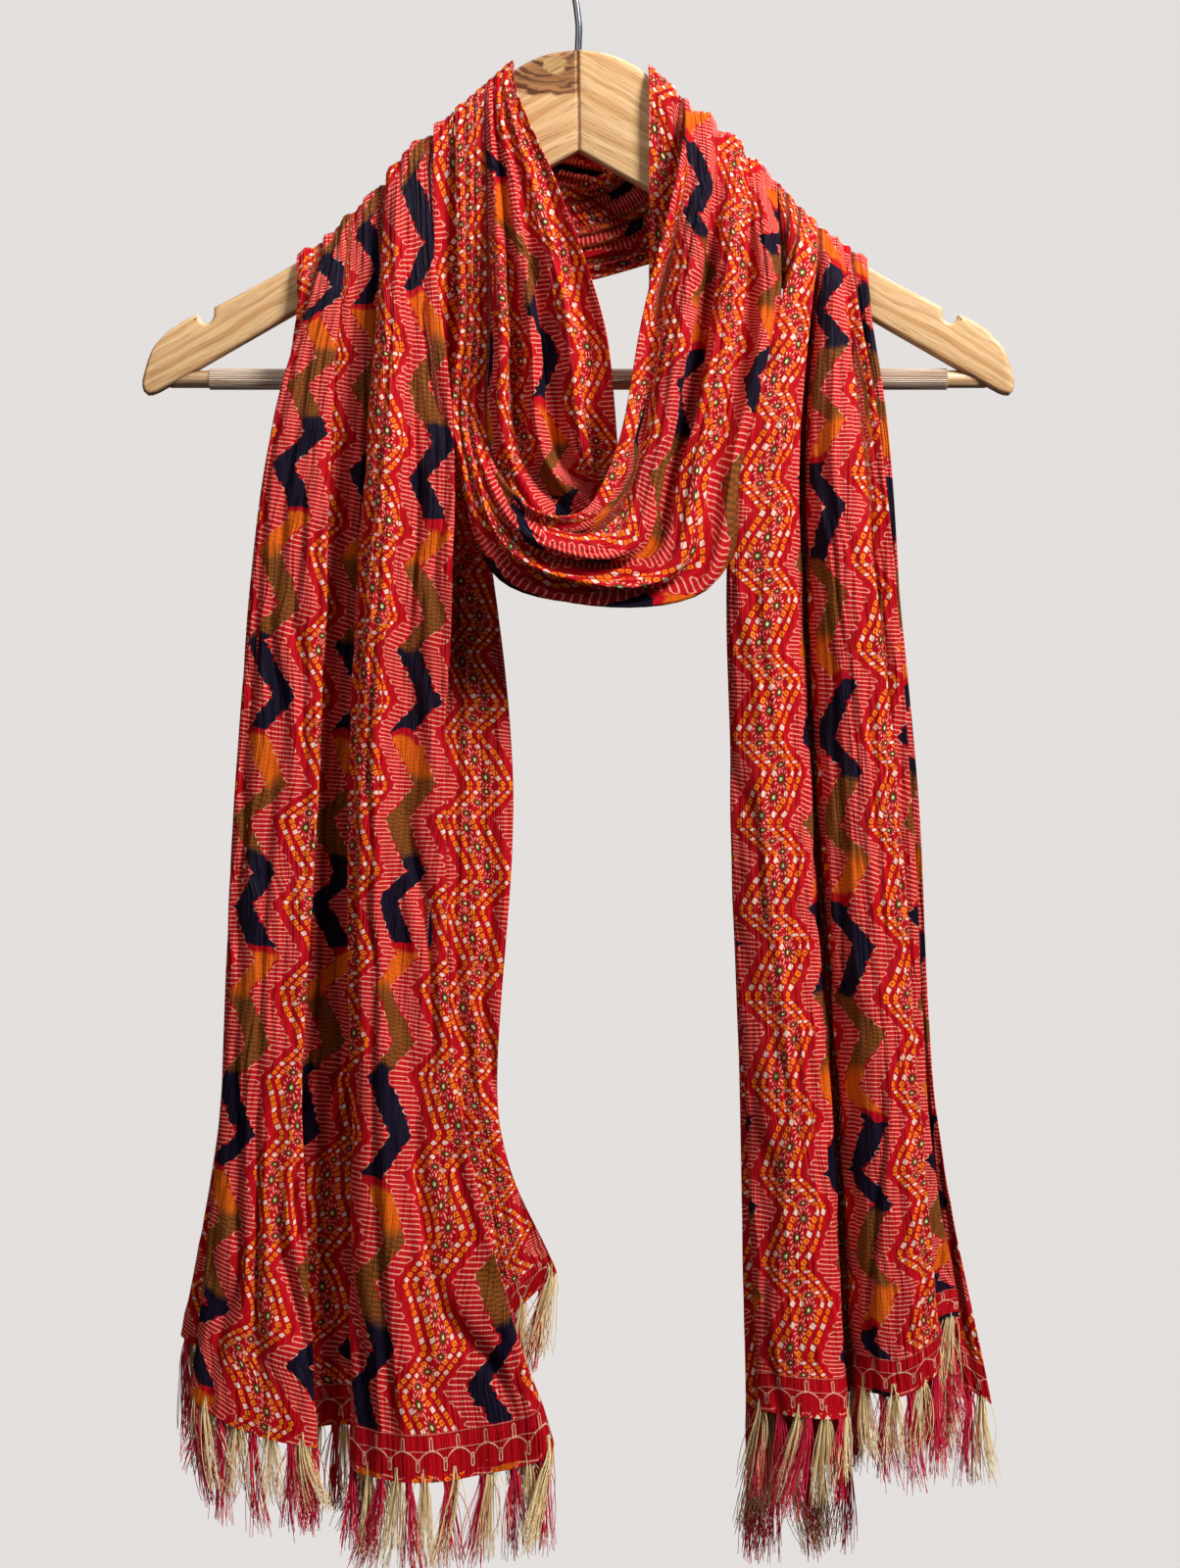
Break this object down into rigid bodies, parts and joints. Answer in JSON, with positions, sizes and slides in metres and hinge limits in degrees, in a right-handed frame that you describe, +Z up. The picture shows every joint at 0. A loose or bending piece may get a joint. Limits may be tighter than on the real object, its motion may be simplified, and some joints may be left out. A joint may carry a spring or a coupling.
{
  "type": "dupatta stole on a wooden hanger",
  "caption": "Crinkled printed dupatta stole wound once round a wooden hanger, with a hanging cowl, two pleated tails and fringed hems.",
  "frame": {"origin": "inner top of the hook, where it hangs on a rod", "axes": "+Z up, +X along the hanger to the viewer's right, -Y towards the viewer and the front of the stole"},
  "size_m": [0.444, 0.0992, 0.8532],
  "materials": {
    "printed_cloth": "crinkled printed cloth",
    "fringe_thread": "glossy twisted thread",
    "oak": "satin lacquer",
    "clear_sleeve": "clear ribbed tube",
    "steel": "bright wire"
  },
  "bodies": {
    "root": {"tail_left": "printed_cloth", "crossing_lower": "printed_cloth", "cowl": "printed_cloth", "crossing_upper": "printed_cloth", "tail_right": "printed_cloth", "fringe_left": "fringe_thread", "fringe_right": "fringe_thread", "arm_left": "oak", "arm_right": "oak", "bar": "oak", "bar_sleeve": "clear_sleeve", "hook": "steel"}
  },
  "joints": []
}
